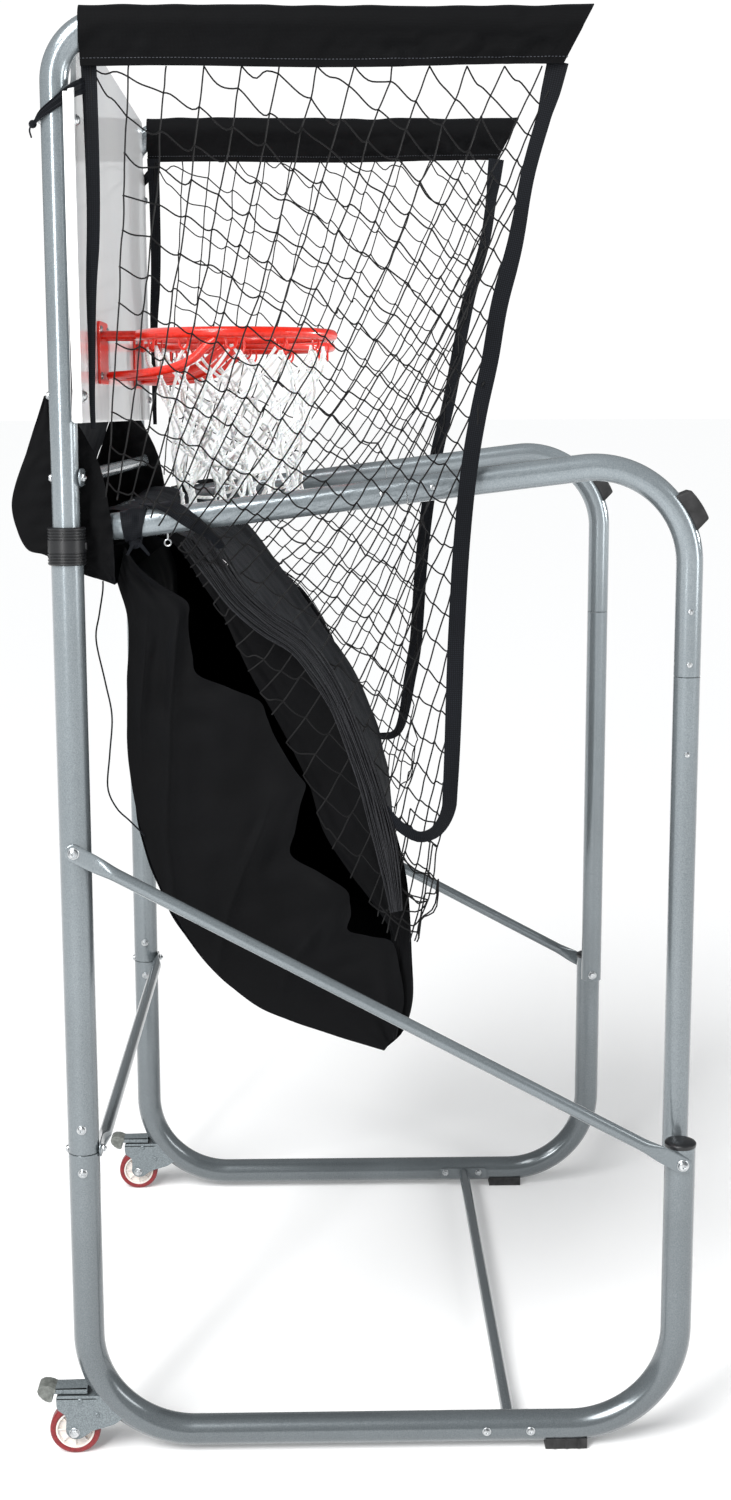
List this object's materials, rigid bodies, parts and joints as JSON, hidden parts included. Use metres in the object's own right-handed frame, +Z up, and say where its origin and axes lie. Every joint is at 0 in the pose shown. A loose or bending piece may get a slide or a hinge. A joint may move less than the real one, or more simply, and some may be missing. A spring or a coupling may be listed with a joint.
{
  "type": "basketball hoop machine",
  "caption": "Folding basketball game on a tubular steel frame: glossy backboard, red hoops with braided nets, side netting, a hanging fabric ball trough and rear casters.",
  "frame": {"origin": "on the floor, at the centre of the folded machine's footprint", "axes": "+Z up; the player stands on the -Y side and looks along +Y at the backboard; +X is the player's right"},
  "size_m": [1.0776, 0.9739, 2.0572],
  "materials": {
    "silver_grey_paint": "fine hammered silver-grey coating, satin",
    "zinc_plate": "bright zinc plating",
    "grey_sheet_steel": "grey-coated pressed sheet, satin",
    "black_plastic": "moulded, satin black",
    "black_rubber": "matte black",
    "dark_red_tyre": "smooth dark red tread",
    "off_white_nylon": "moulded off-white",
    "grey_pedal_plastic": "ribbed warm grey",
    "glossy_white_board": "glossy, pale grey-white",
    "orange_red_enamel": "glossy orange-red",
    "white_braid": "white braided cord",
    "black_woven_fabric": "black plain weave",
    "black_webbing": "black woven band",
    "black_netting": "black knotted net"
  },
  "bodies": {
    "frame": {"backboard": "glossy_white_board", "base_cross_tube": "silver_grey_paint", "base_tube_flange_left": "silver_grey_paint", "base_tube_flange_right": "silver_grey_paint", "caster_axle_left": "zinc_plate", "caster_axle_right": "zinc_plate", "caster_bracket_left": "grey_sheet_steel", "caster_bracket_right": "grey_sheet_steel", "floor_foot_left": "black_rubber", "floor_foot_right": "black_rubber", "floor_frame_left": "silver_grey_paint", "floor_frame_right": "silver_grey_paint", "front_post_cap_left": "black_plastic", "front_post_cap_right": "black_plastic", "front_strap_left": "black_webbing", "front_strap_right": "black_webbing", "hanging_cord": "black_webbing", "pivot_bolt_left": "zinc_plate", "pivot_bolt_right": "zinc_plate", "post_collar_left": "black_plastic", "post_collar_right": "black_plastic", "ramp_rear_panel": "black_woven_fabric", "ramp_side_left": "black_woven_fabric", "ramp_side_right": "black_woven_fabric", "rear_cross_tube": "silver_grey_paint", "rear_post_left": "silver_grey_paint", "rear_post_right": "silver_grey_paint", "rear_pouch": "black_woven_fabric", "rim_brace_left": "orange_red_enamel", "rim_brace_right": "orange_red_enamel", "rim_left": "orange_red_enamel", "rim_net_left": "white_braid", "rim_net_right": "white_braid", "rim_plate_left": "orange_red_enamel", "rim_plate_right": "orange_red_enamel", "rim_right": "orange_red_enamel", "side_brace_left": "silver_grey_paint", "side_brace_right": "silver_grey_paint", "side_net_left": "black_netting", "side_net_right": "black_netting", "top_sleeve_left": "black_woven_fabric", "top_sleeve_right": "black_woven_fabric", "upper_cross_tube": "silver_grey_paint", "upper_post_left": "silver_grey_paint", "upper_post_right": "silver_grey_paint"},
    "front_frame": {"folding_leg_left": "silver_grey_paint", "folding_leg_right": "silver_grey_paint", "folding_elbow_left": "silver_grey_paint", "folding_elbow_right": "silver_grey_paint", "folding_pad_left": "black_rubber", "folding_pad_right": "black_rubber", "folding_crossbar": "silver_grey_paint", "ramp_front_panel": "black_woven_fabric"},
    "wheel_left": {"caster_tyre_left": "dark_red_tyre", "caster_hub_left": "off_white_nylon"},
    "wheel_right": {"caster_tyre_right": "dark_red_tyre", "caster_hub_right": "off_white_nylon"},
    "pedal_left": {"brake_pedal_left": "grey_pedal_plastic"},
    "pedal_right": {"brake_pedal_right": "grey_pedal_plastic"}
  },
  "joints": [
    {"name": "front_fold", "type": "hinge", "parent": "frame", "child": "front_frame", "pos_m": [0, -0.4645, 0.447], "axis": [1, 0, 0], "range_deg": [0, 117], "deforming": ["rim_net_left", "rim_net_right", "side_net_left", "side_net_right", "front_strap_left", "front_strap_right", "ramp_rear_panel", "ramp_side_left", "ramp_side_right", "ramp_front_panel"]},
    {"name": "wheel_left_spin", "type": "hinge", "parent": "frame", "child": "wheel_left", "pos_m": [-0.505, 0.429, 0.0375], "axis": [1, 0, 0], "continuous": true},
    {"name": "wheel_right_spin", "type": "hinge", "parent": "frame", "child": "wheel_right", "pos_m": [0.505, 0.429, 0.0375], "axis": [1, 0, 0], "continuous": true},
    {"name": "pedal_left_press", "type": "hinge", "parent": "frame", "child": "pedal_left", "pos_m": [-0.505, 0.425, 0.0985], "axis": [-1, 0, 0], "range_deg": [0, 6]},
    {"name": "pedal_right_press", "type": "hinge", "parent": "frame", "child": "pedal_right", "pos_m": [0.505, 0.425, 0.0985], "axis": [-1, 0, 0], "range_deg": [0, 6]}
  ]
}
